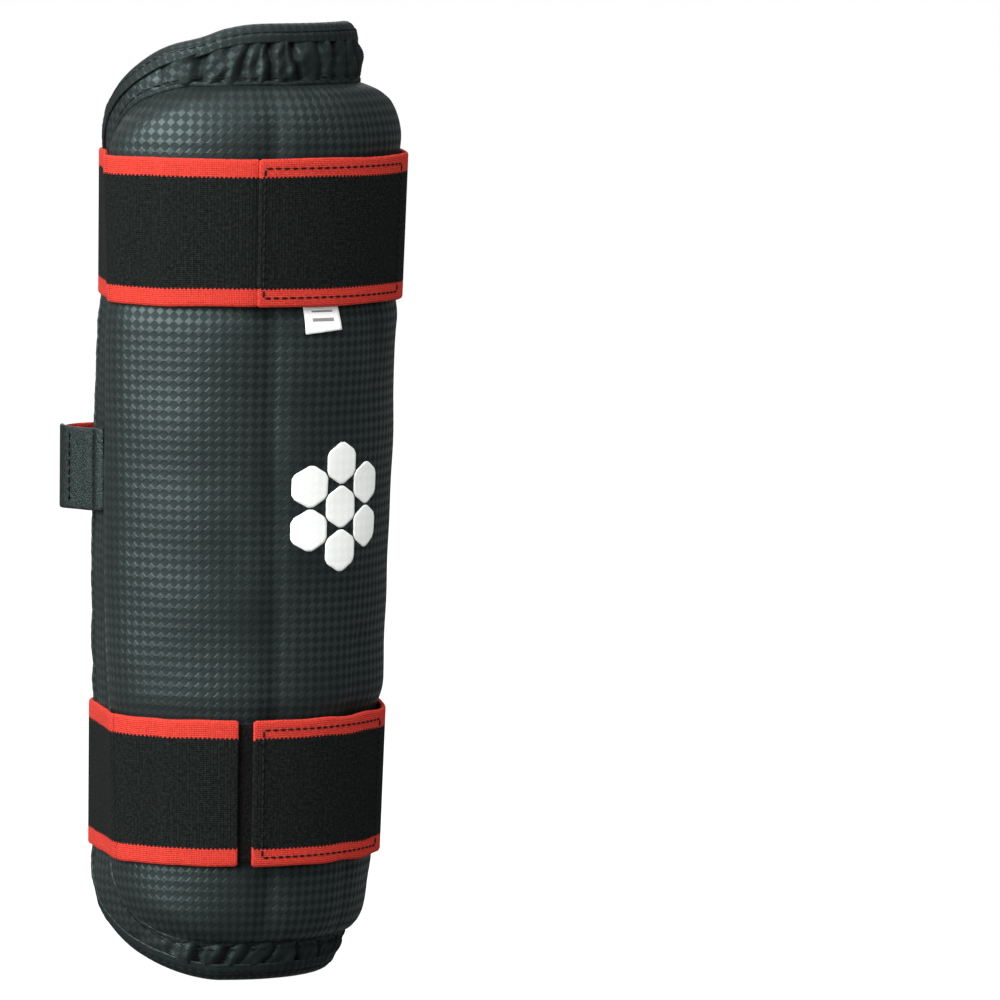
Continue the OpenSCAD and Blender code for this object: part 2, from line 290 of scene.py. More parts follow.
class Value:
    """A number that a material's nodes work out, written with ordinary arithmetic."""

    __add__, __radd__ = arithmetic("ADD"), arithmetic("ADD", swapped=True)
    __sub__, __rsub__ = arithmetic("SUBTRACT"), arithmetic("SUBTRACT", swapped=True)
    __mul__ = arithmetic("MULTIPLY")
    __pow__ = arithmetic("POWER")
    __mod__ = arithmetic("FLOORED_MODULO")
    __gt__, __lt__ = arithmetic("GREATER_THAN"), arithmetic("LESS_THAN")
    __abs__ = arithmetic("ABSOLUTE")
    floor, fract, sine = arithmetic("FLOOR"), arithmetic("FRACT"), arithmetic("SINE")
    maximum, minimum = arithmetic("MAXIMUM"), arithmetic("MINIMUM")
    zigzag = arithmetic("PINGPONG")

    def __init__(self, graph, socket):
        self.graph = graph
        self.socket = socket

    def clamped(self):
        return self.maximum(0.0).minimum(1.0)

    def span(self, low, high, to_low=0.0, to_high=1.0):
        """The value carried from the range low-high to another one, and held inside it."""
        n = self.graph.node("ShaderNodeMapRange")
        sockets = ("Value", "From Min", "From Max", "To Min", "To Max")
        self.graph.feed(n, **dict(zip(sockets, (self, low, high, to_low, to_high))))
        return Value(self.graph, n.outputs["Result"])


class Graph:
    """Short words for building one material's nodes."""

    def __init__(self, name):
        self.material = bpy.data.materials.new(name)
        self.material.use_nodes = True
        self.tree = self.material.node_tree
        self.shader = self.tree.nodes["Principled BSDF"]

    def node(self, kind, **settings):
        n = self.tree.nodes.new(kind)
        for key, value in settings.items():
            setattr(n, key, value)
        return n

    def connect(self, socket, value):
        """Links a socket to another one, or sets it to a plain number or colour."""
        value = value.socket if isinstance(value, Value) else value
        if isinstance(value, bpy.types.NodeSocket):
            self.tree.links.new(value, socket)
        else:
            socket.default_value = value

    def feed(self, n, **values):
        for key, value in values.items():
            self.connect(n.inputs[key], value)

    def math(self, operation, *values):
        n = self.node("ShaderNodeMath", operation=operation)
        for socket, value in zip(n.inputs, values):
            self.connect(socket, value)
        return Value(self, n.outputs[0])

    def uv_mm(self):
        """The unrolled cloth's two coordinates, in millimetres."""
        split = self.node("ShaderNodeSeparateXYZ")
        self.connect(split.inputs[0], self.node("ShaderNodeUVMap", uv_map="cloth").outputs[0])
        return [Value(self, split.outputs[k]) * UV_MM for k in (0, 1)]

    def vector(self, x, y):
        n = self.node("ShaderNodeCombineXYZ")
        self.feed(n, X=x, Y=y)
        return n.outputs[0]

    def place(self):
        return self.node("ShaderNodeTexCoord").outputs["Object"]

    def noise(self, vector, scale, detail=3.0, roughness=0.5):
        n = self.node("ShaderNodeTexNoise")
        self.feed(n, Vector=vector, Scale=scale, Detail=detail, Roughness=roughness)
        return Value(self, n.outputs["Fac"])

    def cells(self, vector, scale, feature="F1"):
        n = self.node("ShaderNodeTexVoronoi", feature=feature)
        self.feed(n, Vector=vector, Scale=scale)
        return Value(self, n.outputs["Distance"])

    def blend(self, share, a, b):
        """A colour between two others."""
        n = self.node("ShaderNodeMix", data_type="RGBA")
        self.feed(n, Factor=share)
        sockets = [s for s in n.inputs if s.type == "RGBA"]
        for socket, value in zip(sockets, (a, b)):
            self.connect(socket, (*value, 1) if isinstance(value, tuple) else value)
        return [s for s in n.outputs if s.type == "RGBA"][0]

    def bump(self, height, depth, strength=1.0, normal=None):
        n = self.node("ShaderNodeBump")
        self.feed(n, Strength=strength, Distance=depth, Height=height)
        if normal:
            self.feed(n, Normal=normal)
        return n.outputs[0]

    def surface(self, colour, roughness, normal=None, specular=0.5, sheen=0.0, tint=(1, 1, 1)):
        """The material, once its shader has these; the last three are the same all over it."""
        s = self.shader.inputs
        self.connect(s["Base Color"], colour)
        self.connect(s["Roughness"], roughness)
        if normal:
            self.connect(s["Normal"], normal)
        s["Specular IOR Level"].default_value = specular
        s["Specular Tint"].default_value = (*tint, 1)
        s["Sheen Weight"].default_value = sheen
        s["Sheen Roughness"].default_value = 0.5
        return self.material


BLACK_TINT = (0.74, 1.0, 0.98)
EMBOSS_PITCH = 2.16  # mm along the side of one diamond
GATHER_REACH = 44  # mm of the unrolled cover to each side of the front that are gathered


def thread_height(across, along):
    """Height of one thread of a weave, from its shares across (0-1) and along (0-1) a crossing."""
    ridge = (across * math.pi).sine()
    arch = (along * math.pi).sine()
    return ridge * (0.5 + arch * 0.5)


def weave(p, q):
    """Height of a plain weave whose threads are one unit wide."""
    fp, fq = p.fract(), q.fract()
    over, under = thread_height(fq, fp), thread_height(fp, fq)
    return under + (over - under) * ((p.floor() + q.floor()) % 2.0)


def diamonds(g):
    """(height, parity) of an embossed diagonal chequer: raised flat diamonds between sunk ones."""
    u, v = g.uv_mm()
    cells_per_mm = 1 / (EMBOSS_PITCH * math.sqrt(2))
    p, q = (u + v) * cells_per_mm, (u - v) * cells_per_mm
    parity = (p.floor() + q.floor()) % 2.0
    off_p, off_q = (abs(t.fract() * 2.0 - 1.0) for t in (p, q))
    raised = 1.0 - off_p.maximum(off_q) ** 5.0 * 0.5
    sunk = 0.5 - (1.0 - off_p ** 2.0) * 0.38
    return raised + (sunk - raised) * parity, parity


def gathered_share(g):
    """1 on the two gathered collars of the cover, 0 on the rest of it, from its unrolled map."""
    u, v = g.uv_mm()
    above = v.span(PAD_TOP / MM - 1, PAD_TOP / MM + 3)
    below = v.span(PAD_BOTTOM / MM + 1, PAD_BOTTOM / MM - 2)
    return above.maximum(below) * abs(u).span(GATHER_REACH + 6, GATHER_REACH - 4)


def embossed_vinyl(name, gathered=False, flat=0.0):
    """Black synthetic leather, embossed all over with a diagonal chequer, with painted shade darkening its
    sunk diamonds.

    flat is the share of the emboss that is stretched out; a gathered cloth has it from its place."""
    g = Graph(name)
    height, parity = diamonds(g)
    if gathered:
        flat = gathered_share(g)
    place = g.place()
    soft, worn = g.noise(place, 60, 2), g.noise(place, 22, 4, 0.6)
    fine, crease = g.noise(place, 2600, 2), g.noise(place, 240, 4, 0.6)
    press = g.noise(place, 35, 2).span(0.3, 0.6, 0.6, 1.0) * (1.0 - flat * 0.78)
    relief = height * press
    normal = g.bump(relief, 0.20 * MM)
    normal = g.bump((fine + crease) * (1.0 + flat * 5.0), 0.045 * MM, 0.5, normal)
    # painted shade: the colour darkens with the emboss's height, so the sunk diamonds and the raised ones'
    # low edges are painted darker
    colour = g.blend(relief.span(0.1, 0.9), (0.0008, 0.0013, 0.0012), (0.0125, 0.0165, 0.0163))
    colour = g.blend(worn.span(0.35, 0.75) * 0.12, colour, (0.014, 0.0175, 0.0172))
    rough = soft.span(0.3, 0.7, 0.41, 0.48) + parity * 0.22 + flat * 0.12
    return g.surface(colour, rough, normal, specular=0.40, tint=BLACK_TINT)


def grained_vinyl():
    """Black synthetic leather with a fine natural grain."""
    g = Graph("grained_vinyl")
    place = g.place()
    valley = g.cells(place, 1500, "DISTANCE_TO_EDGE").span(0.0, 0.18)
    normal = g.bump(valley + g.noise(place, 900, 3) * 0.6, 0.10 * MM, 0.8)
    normal = g.bump(g.noise(place, 210, 4, 0.65), 0.5 * MM, 0.6, normal)
    colour = g.blend(valley, (0.0010, 0.0015, 0.0014), (0.0060, 0.0078, 0.0076))
    rough = g.noise(place, 90, 3).span(0.3, 0.7, 0.38, 0.52)
    return g.surface(colour, rough, normal, specular=0.40, tint=BLACK_TINT)


def webbing(name, width, edge):
    """Ribbed black elastic with woven red edges, painted lighter on its raised threads and darker between
    them; width and edge in metres.
    """
    g = Graph(name)
    u, v = g.uv_mm()
    rib, pick, tooth = 1.05, 0.62, 1.35  # mm between two ribs, two weft threads and two red teeth
    red = abs(v) > u.zigzag(tooth / 2) + ((width / 2 - edge) / MM - 0.35)
    height = weave(v * (1 / pick), u * (2 / rib))
    fuzz = g.noise(g.vector(u, v), 0.95, 5, 0.8)
    uneven = g.noise(g.vector(u * 0.9, v * 0.06), 1.0, 3)
    cord = (1.0 - red) * ((u * (2 * math.pi / rib)).sine() * 0.35)
    normal = g.bump(height + cord + fuzz * 0.9, 0.16 * MM)
    # painted highlight and shade: the black is lighter on raised threads and darker between them, with random
    # tone from the noise
    painted_thread_shade_and_tone = height * 0.45 + uneven * 0.2 + fuzz.span(0.38, 0.66, -0.5, 0.55)
    black = g.blend(painted_thread_shade_and_tone.clamped(), (0.0004, 0.0009, 0.0007), (0.0130, 0.0172, 0.0155))
    # the red edges are painted the same way: lighter on raised threads, painted shade between them
    share = height * 0.75 + fuzz.span(0.35, 0.7, -0.1, 0.4)
    reds = g.blend(share.clamped(), (0.24, 0.012, 0.008), (0.62, 0.050, 0.033))
    return g.surface(g.blend(red, black, reds), fuzz.span(0.2, 0.8, 0.75, 0.92), normal, specular=0.12)


def knit(name, low, high, pitch=1.1):
    """Plain knitted or woven cloth between two colours, with painted shade between its threads; pitch is the
    threads' spacing in mm.
    """
    g = Graph(name)
    u, v = g.uv_mm()
    fuzz = g.noise(g.vector(u, v), 2.5, 4, 0.6)
    relief = weave(u * (1 / pitch), v * (1 / pitch)) + fuzz * 0.6
    # painted shade: the colour follows the weave's relief, darker in the gaps between threads
    colour = g.blend((relief * 0.7).clamped(), low, high)
    return g.surface(colour, 0.88, g.bump(relief, 0.1 * MM, 0.7), specular=0.2, sheen=0.08)


def pile(name, low, high, scale, depth):
    """Hook or loop tape: a dense rough pile."""
    g = Graph(name)
    place = g.place()
    tufts, tangle = g.cells(place, scale), g.noise(place, scale * 1.7, 5, 0.7)
    relief = (1.0 - tufts) + tangle * 0.8
    colour = g.blend(tangle.span(0.3, 0.75), low, high)
    return g.surface(colour, 0.95, g.bump(relief, depth), specular=0.12, sheen=0.02)


def foam_material():
    g = Graph("closed_cell_foam")
    pores = g.cells(g.place(), 1100)
    colour = g.blend(pores.span(0.1, 0.6), (0.16, 0.16, 0.165), (0.34, 0.34, 0.35))
    return g.surface(colour, 0.9, g.bump(pores, 0.2 * MM, 0.6), specular=0.2)


def thread_material(name, low, high):
    """Twisted sewing thread."""
    g = Graph(name)
    u, v = g.uv_mm()
    share = ((u * 1.2 + v) * 9.0).sine().span(-1.0, 1.0)
    return g.surface(g.blend(share, low, high), 0.7, g.bump(share, 0.05 * MM, 0.6), specular=0.15)


def print_material():
    """White heat-pressed print, with the emboss of the vinyl showing through it as bump and as painted shade
    in its sunk diamonds.
    """
    g = Graph("white_print")
    height = diamonds(g)[0]
    speck = g.noise(g.place(), 1500, 4, 0.7).span(0.64, 0.70)
    colour = g.blend(speck * 0.5, (0.80, 0.82, 0.80), (0.36, 0.38, 0.37))
    # painted shade: the print is darker where the emboss sinks
    colour = g.blend((1.0 - height) * 0.12, colour, (0.45, 0.47, 0.46))
    return g.surface(colour, 0.55, g.bump(height, 0.06 * MM, 0.6), specular=0.3)


def label_material(width, length):
    """White woven satin with two plain grey bars."""
    g = Graph("woven_label")
    u, v = g.uv_mm()
    bars = 0.0
    for place, half in ((-0.12, 0.55), (0.14, 0.3)):  # share of the length, half thickness in mm
        bars = bars + (abs(v - place * length / MM) < half)
    ink = (bars * (abs(u) < 0.3 * width / MM)).clamped()
    white = g.blend(g.noise(g.vector(u, v), 3.0, 3), (0.78, 0.79, 0.78), (0.90, 0.90, 0.89))
    colour = g.blend(ink * 0.85, white, (0.10, 0.10, 0.10))
    ribs = (v * (2 * math.pi / 0.35)).sine()
    return g.surface(colour, 0.6, g.bump(ribs, 0.04 * MM, 0.5), specular=0.3, sheen=0.1)


STRAP_W = box_top("upper_tab_outer") - box_bottom("upper_tab_outer")
STRAP_T = 1.6 * MM
STRAP_EDGE = 5.6 * MM
STAY_W = box_top("mid_band") - box_bottom("mid_band")
STAY_T = 1.3 * MM
STAY_EDGE = 3.6 * MM
LABEL_W = 11.5 * MM
LABEL_L = 10 * MM

VINYL = embossed_vinyl("embossed_vinyl")
COVER_VINYL = embossed_vinyl("embossed_cover_vinyl", gathered=True)
GRAIN = grained_vinyl()
BINDING = embossed_vinyl("binding_vinyl", flat=0.6)
WEBBING = webbing("strap_webbing", STRAP_W, STRAP_EDGE)
STAY_WEBBING = webbing("stay_webbing", STAY_W, STAY_EDGE)
LINING = knit("lining_cloth", (0.010, 0.010, 0.011), (0.035, 0.036, 0.038))
ELASTIC = knit("gather_elastic", (0.008, 0.008, 0.008), (0.03, 0.03, 0.03), 0.8)
FOAM = foam_material()
HOOK = pile("hook_tape", (0.002, 0.002, 0.002), (0.014, 0.014, 0.014), 1250, 0.35 * MM)
LOOP = pile("loop_tape", (0.0012, 0.0013, 0.0012), (0.0095, 0.0100, 0.0095), 800, 0.5 * MM)
STITCH_PITCH = 3.3 * MM
THREAD = thread_material("black_thread", (0.0012, 0.0012, 0.0012), (0.0070, 0.0070, 0.0070))
PRINT = print_material()
LABEL = label_material(LABEL_W, LABEL_L)


# ---------------------------------------------------------------- the shell's shape

def panel_angle(z, inset=0.0):
    """Half angle of the sewn panel at each height; inset takes that many metres off all round."""
    top_h = PANEL_TOP - CORNER_TOP_Z - inset
    bottom_h = CORNER_BOTTOM_Z - PANEL_BOTTOM - inset
    share = np.maximum((z - CORNER_TOP_Z) / top_h, (CORNER_BOTTOM_Z - z) / bottom_h)
    power = np.where(z > 0, CORNER_POWER_TOP, CORNER_POWER_BOTTOM)
    full = PANEL_ANGLE - CORNER_ANGLE - math.degrees(inset / COVER_R)
    return CORNER_ANGLE + full * (1 - clamp01(share) ** power) ** (1 / power)


def lean(angle, z, collar=1.0):
    """How far the straps draw the flanges in, and the two collars lean in towards the arm.

    collar is the share of the collars' lean that counts."""
    top = ease((z - COLLAR_TOP_Z) / (GUARD_TOP - COLLAR_TOP_Z))
    bottom = clamp01((COLLAR_BOTTOM_Z - z) / (COLLAR_BOTTOM_Z - GUARD_BOTTOM))
    drawn = hump(z, UPPER_MID, 52 * MM) + 0.3 * hump(z, LOWER_MID, 40 * MM)
    tight = hump(z, UPPER_MID, 27 * MM, 4) + 0.5 * hump(z, LOWER_MID, 27 * MM, 4)
    side = ease((np.abs(angle) - 78) / 42)
    hip = ease((np.abs(angle) - 70) / 32)
    lean_in = collar * (0.8 * MM * top + 6.5 * MM * bottom ** 1.5)
    return -lean_in - 2.2 * MM * drawn * side - 1.2 * MM * tight * hip


cloth_waves = waves(3, 14, 22 * MM, 60 * MM)
small_waves = waves(5, 16, 7 * MM, 16 * MM)
creases = waves(9, 14, 4.5 * MM, 11 * MM)

# Each fold's angle, its depth in mm, and how many degrees it slants over the collar's height
TOP_PLEATS = ((-66, 1.0, 6), (-49, 3.2, 8), (-39, 0.8, 5), (-29.5, 1.9, 6), (-24, 1.0, 7), (-18.5, 2.9, 5),
              (-12, 0.8, 3), (-5.5, 2.7, -1), (6, 1.2, 3), (16, 2.6, -3), (27, 1.1, 2), (36, 2.5, -4),
              (48, 1.7, -6), (60, 1.3, -8))
BOTTOM_PLEATS = ((-60, 1.5, -11), (-47, 2.9, -12), (-34, 2.1, -13), (-26, 1.1, -9), (-13, 1.5, -7),
                 (3, 2.0, -4), (16, 1.1, 3), (31, 2.3, 5), (45, 2.0, 8), (60, 1.4, 9))


def pleats(angle, z):
    """Radial shape of the gathered cloth in the two collars."""
    arc = np.radians(angle) * COVER_R
    total = np.zeros(np.broadcast(angle, z).shape)
    for marks, low, high in ((TOP_PLEATS, PAD_TOP - 3 * MM, PANEL_TOP + 1 * MM),
                             (BOTTOM_PLEATS, PAD_BOTTOM + 3 * MM, PANEL_BOTTOM - 1 * MM)):
        share = (z - low) / (high - low)
        inside = ease(share / 0.25) * ease((1.06 - share) / 0.25)
        belly = np.sin(np.pi * clamp01(share)) * (1 - ease((np.abs(angle) - 56) / 16))
        total = total + (1.5 * MM * belly + 0.30 * MM * creases(arc - 0.7 * z, 0.6 * z)) * inside
        for at, depth, slant in marks:
            middle = at + slant * (share - 0.5) + 1.5 * np.sin(5 * share + at)
            off = np.radians(angle - middle) * COVER_R / MM
            steep = np.where(off > 0, 0.35 + 0.12 * depth, 0.7 + 0.45 * depth)
            fold = hump(off, 0, steep, 1.3) - 0.38 * hump(off, -3.4, 1.9)
            total = total - depth * MM * fold * inside
    return total


def shell_grid(rows, cols, inset=0.0):
    """Angles and heights of a grid that fills the sewn panel."""
    z = PANEL_BOTTOM + inset + (PANEL_TOP - PANEL_BOTTOM - 2 * inset) * (spread(rows) + 1) / 2
    angle = panel_angle(z, inset)[:, None] * np.linspace(-1, 1, cols + 1)[None, :]
    return angle, np.repeat(z[:, None], cols + 1, axis=1)


def sag(angle, z):
    """Heights once the top collar's free edge has slumped a little on the left."""
    share = ease((z - PAD_TOP + 6 * MM) / (PANEL_TOP - PAD_TOP + 6 * MM))
    return z - TOP_SAG * hump(angle, SAG_ANGLE, SAG_REACH) * share


def unrolled(angle, z, radius=COVER_R):
    return np.stack([np.radians(angle) * radius, z], axis=-1)


def shell_layer(name, angle, z, outer, inner):
    """A skin of the sewn panel, sagging with it."""
    high = sag(angle, z)
    return slab(name, polar(angle, outer, high), polar(angle, inner, high), unrolled(angle, z))


def make_shell():
    cloth_t = 0.8 * MM
    angle, z = shell_grid(170, 190)
    flange = ease((np.abs(angle) - 98) / 6)
    lump = 0.25 * MM * cloth_waves(np.radians(angle) * COVER_R, z) * flange
    outer = COVER_R + pleats(angle, z) + (lump + lean(angle, z))
    cover = shell_layer("base_cover_vinyl", angle, z, outer, outer - cloth_t)
    finish_piece(cover, COVER_VINYL, replaces=("base_cover",))

    angle, z = shell_grid(90, 110)
    lump = 0.12 * MM * small_waves(np.radians(angle) * COVER_R, z)
    outer = LINING_R + (lump + lean(angle, z) + 0.05 * pleats(angle, z))
    lining = shell_layer("lining_cloth", angle, z, outer, outer - cloth_t)
    finish_piece(lining, LINING, replaces=("lining",))

    angle, z = shell_grid(60, 60, inset=10.5 * MM)
    tilt = lean(angle, z)
    under_cover = np.maximum(FOAM_R - 0.9 * MM + pleats(angle, z), LINING_R + 0.7 * MM)
    foam = shell_layer("base_foam_sheet", angle, z, under_cover + tilt, LINING_R + 0.5 * MM + tilt)
    finish_piece(foam, FOAM, replaces=("base_foam",))


def make_gather_elastic(node):
    low, high, thickness = box_bottom(node), box_top(node), 0.9 * MM
    section = [(low, 0), (high, 0), (high, thickness), (low, thickness)]
    base = LINING_R + 0.15 * MM
    rings, uvs = [], []
    for a in np.linspace(-62, 62, 125):
        pucker = 0.1 * MM * math.sin(math.radians(a * 23))
        rings.append([polar(a, base + pucker + float(lean(a, h)) + t, float(sag(a, h))) for h, t in section])
        uvs.append([(math.radians(a) * base, h + t) for h, t in section])
    strip = loft(f"{node}_strip", np.array(rings), np.array(uvs))
    finish_piece(strip, ELASTIC, replaces=(node,))


# ---------------------------------------------------------------- edge binding

def corner(angle, width, z, height, power, count):
    """A superellipse's quarter, from (angle + width, z) to (angle, z + height)."""
    turn = np.linspace(0, np.pi / 2, count)
    return angle + width * np.cos(turn) ** (2 / power), z + height * np.sin(turn) ** (2 / power)


def closed_outline(top_corner, bottom_corner, side_count, across_count=60):
    """A closed loop of (angle, z) round four corners, counter-clockwise seen from the front.

    It is the same on both sides, and it starts at the foot of its right side."""
    (top_a, top_z), (bottom_a, bottom_z) = top_corner, bottom_corner
    side = np.linspace(bottom_z[0], top_z[0], side_count)[1:-1]
    across = np.linspace(top_a[-1], -top_a[-1], across_count)[1:-1]
    angle = np.concatenate([np.full_like(side, top_a[0]), top_a, across, -top_a[::-1],
                            np.full_like(side, -top_a[0]), -bottom_a, -across, bottom_a[::-1]])
    z = np.concatenate([side, top_z, np.full_like(across, top_z[-1]), top_z[::-1],
                        side[::-1], bottom_z, np.full_like(across, bottom_z[-1]), bottom_z[::-1]])
    return angle, z


def panel_outline():
    shapes = ((CORNER_TOP_Z, PANEL_TOP, CORNER_POWER_TOP),
              (CORNER_BOTTOM_Z, PANEL_BOTTOM, CORNER_POWER_BOTTOM))
    top, bottom = (corner(CORNER_ANGLE, PANEL_ANGLE - CORNER_ANGLE, z, end - z, power, 26)
                   for z, end, power in shapes)
    return closed_outline(top, bottom, 90)


def resample_loop(outline, spacing):
    """Evenly spaced (angle, z) round a closed outline, and the distance to each along the cloth."""
    points = unrolled(*outline)
    step = np.linalg.norm(np.roll(points, -1, axis=0) - points, axis=1)
    total = step.sum()
    s = np.concatenate([[0], np.cumsum(step)[:-1], [total]])
    n = int(round(total / spacing))
    at = np.arange(n) * total / n
    return [np.interp(at, s, np.append(v, v[0])) for v in outline], at


def edge_frame(outline, spacing):
    """Evenly spaced points of an outline with their outward direction in the unrolled cloth."""
    (angle, z), at = resample_loop(outline, spacing)
    flat = unrolled(angle, z)
    along = np.roll(flat, -1, axis=0) - np.roll(flat, 1, axis=0)
    along /= np.linalg.norm(along, axis=1)[:, None]
    return angle, z, np.stack([along[:, 1], -along[:, 0]], axis=1), at


def beyond(angle, z, outward, out):
    """Angles and heights a distance out from an outline, along the cloth."""
    return angle + np.degrees(outward[:, 0] * out / COVER_R), z + outward[:, 1] * out


def binding_points(angle, z, outward, out, radius):
    """Points a distance out from the panel's edge, at a radius, with the collars' lean."""
    a, h = beyond(angle, z, outward, out)
    return polar(a, radius + lean(a, h), sag(a, h))


def make_binding():
    angle, z, outward, at = edge_frame(panel_outline(), 1.3 * MM)
    low, high = CHANNEL_R - 0.3 * MM, COVER_R + 0.9 * MM
    lap, reach = 1.3 * MM, BINDING_W - 0.05 * MM
    mid, half = (low + high) / 2 - 0.3 * MM, (high - low) / 2 - 0.5 * MM
    section = [(-lap, low + 0.5 * MM), (-lap, low), (0.3 * reach, low)]
    for turn in math.pi * (np.arange(9) / 8 - 0.5):
        section.append((reach - half * 0.75 + half * 0.75 * math.cos(turn), mid + half * math.sin(turn)))
    outer_from = len(section) - 1
    groove = 0.42 * reach
    section += [
        (groove + 0.4 * MM, high - 0.3 * MM), (groove, high - 0.8 * MM),
        (groove - 0.4 * MM, high - 0.2 * MM), (0.12 * reach, high), (-0.45 * lap, high - 0.05 * MM),
        (-0.85 * lap, high), (-lap, high - 0.35 * MM), (-lap, high - 1.0 * MM),
    ]
    stitch = np.abs(np.sin(np.pi * at / STITCH_PITCH))
    ripple = 0.14 * MM * (stitch - 0.5) + 0.16 * MM * small_waves(at, at * 0)
    columns, uvs = [], []
    for k, (out, radius) in enumerate(section):
        soft = ripple * (1 if k >= outer_from else 0.3)
        columns.append(binding_points(angle, z, outward, out, radius + soft))
        uvs.append(np.stack([at, np.full_like(at, k * 0.7 * MM)], axis=1))
    binding = sweep("edge_binding_strip", columns, uvs, closed=True)
    finish_piece(binding, BINDING, replaces=("edge_binding",))

    angle, z, outward, at = edge_frame(panel_outline(), STITCH_PITCH)
    stitches("edge_stitches", binding_points(angle, z, outward, groove, high - 0.55 * MM))


# ---------------------------------------------------------------- stitches

def stitches(name, starts, ends=None, body="shell", radius=0.27 * MM):
    """Short threads as one piece, each from a start to its end, or to the next start round a loop."""
    ring, rows, covered = 7, 6, 0.78
    ends = np.roll(starts, -1, axis=0) if ends is None else ends
    points, faces, uvs = [], [], []
    for a, b in zip(starts, ends):
        length = np.linalg.norm(b - a)
        if length < 1e-6:
            continue
        axis = (b - a) / length
        side = np.cross(axis, [0, 0, 1.0] if abs(axis[2]) < 0.9 else [0, 1.0, 0])
        side /= np.linalg.norm(side)
        other = np.cross(axis, side)
        faces += tube_faces(rows, ring, len(points))
        for share in np.arange(rows) / (rows - 1):
            fat = radius * (0.25 + 0.75 * max(math.sin(math.pi * share), 0) ** 0.5)
            centre = (a + b) / 2 + axis * (share - 0.5) * length * covered
            for turn in 2 * math.pi * np.arange(ring) / ring:
                points.append(centre + fat * (math.cos(turn) * side + math.sin(turn) * other))
                uvs.append((share * length, turn * radius))
    obj = mesh_object(name, np.array(points), faces, np.array(uvs))
    finish_piece(obj, THREAD, body=body)


# ---------------------------------------------------------------- cloth simulation

def cubic_weights(fine, coarse):
    """Weights that carry coarse + 1 evenly indexed samples to fine + 1 of them, smoothly."""
    at = np.linspace(0, coarse, fine + 1)
    low = np.minimum(at.astype(int), coarse - 1)
    t = at - low
    share = [
        -0.5 * t + t ** 2 - 0.5 * t ** 3, 1 - 2.5 * t ** 2 + 1.5 * t ** 3,
        0.5 * t + 2 * t ** 2 - 1.5 * t ** 3, -0.5 * t ** 2 + 0.5 * t ** 3,
    ]
    weights = np.zeros((fine + 1, coarse + 1))
    for k in range(4):
        np.add.at(weights, (np.arange(fine + 1), np.clip(low + k - 1, 0, coarse)), share[k])
    return weights


VINYL_SHEET = {
    "quality": 6, "mass": 0.15, "tension_stiffness": 18, "compression_stiffness": 10,
    "shear_stiffness": 6, "bending_stiffness": 0.35, "use_pressure": True, "shrink_min": 0.0,
    "vertex_group_shrink": "slack", "vertex_group_mass": "sewn",
}


def settle(points, sewn, slack, pressure, excess, frames=20):
    """Cloth simulation of a sheet that is sewn down by weight and filled from behind.

    Where slack is 1, the cloth is longer than the sheet by the share excess, so it puckers there.
    Returns the settled points."""
    rows, cols = points.shape[:2]
    mesh = bpy.data.meshes.new("settling_sheet")
    mesh.from_pydata([tuple(p) for p in points.reshape(-1, 3)], [], grid_faces(rows, cols))
    sheet = bpy.data.objects.new("settling_sheet", mesh)
    scene = bpy.context.scene
    scene.collection.objects.link(sheet)
    for name, weights in (("sewn", sewn), ("slack", slack)):
        group = sheet.vertex_groups.new(name=name)
        for index, weight in enumerate(weights.ravel()):
            if weight > 0.01:
                group.add([index], float(weight), "REPLACE")
    cloth = sheet.modifiers.new("cloth", "CLOTH")
    for key, value in VINYL_SHEET.items():
        setattr(cloth.settings, key, value)
    cloth.settings.uniform_pressure_force = pressure
    cloth.settings.shrink_max = -excess
    cloth.settings.effector_weights.gravity = 0
    cloth.point_cache.frame_start = 1
    cloth.point_cache.frame_end = frames
    for frame_number in range(1, frames + 1):
        scene.frame_set(frame_number)
    result = sheet.evaluated_get(bpy.context.evaluated_depsgraph_get()).to_mesh()
    settled = np.zeros(rows * cols * 3)
    result.vertices.foreach_get("co", settled)
    bpy.data.objects.remove(sheet)
    scene.frame_set(1)
    return settled.reshape(points.shape)


# ---------------------------------------------------------------- pad

def pad_side(z):
    """Half angle of the pad where its sides run straight; it narrows a little towards its foot."""
    return PAD_ANGLE - 5 * ease((-z - 20 * MM) / (60 * MM))


def pad_angle(z):
    share = np.maximum(z - PAD_TOP + PAD_CORNER_H, PAD_BOTTOM + PAD_CORNER_H - z) / PAD_CORNER_H
    return PAD_CORNER_ANGLE + (pad_side(z) - PAD_CORNER_ANGLE) * np.sqrt(1 - clamp01(share) ** 2)


def pad_radius(z):
    return PAD_MID_R + PAD_TAPER * z


def groove_place(z):
    """Where the two grooves run: they wander a little down the pad."""
    return GROOVE_ANGLE + 2.0 * np.sin(z / (48 * MM)) + 1.2


def strap_press(z):
    """How far the filling plumps the pad up between the straps, which press into it."""
    above = ease((z - STRAPS["lower"]["high"] + 4 * MM) / (12 * MM))
    below = ease((STRAPS["upper"]["low"] + 4 * MM - z) / (12 * MM))
    total = PLUMP * above * below
    for strap in STRAPS.values():
        inside = ease((z - strap["low"]) / (5 * MM)) * ease((strap["high"] - z) / (5 * MM))
        edge = hump(z, strap["low"] - 4 * MM, 4 * MM) + hump(z, strap["high"] + 4 * MM, 4 * MM)
        total = total - 0.45 * MM * inside + 0.2 * MM * edge
    return total


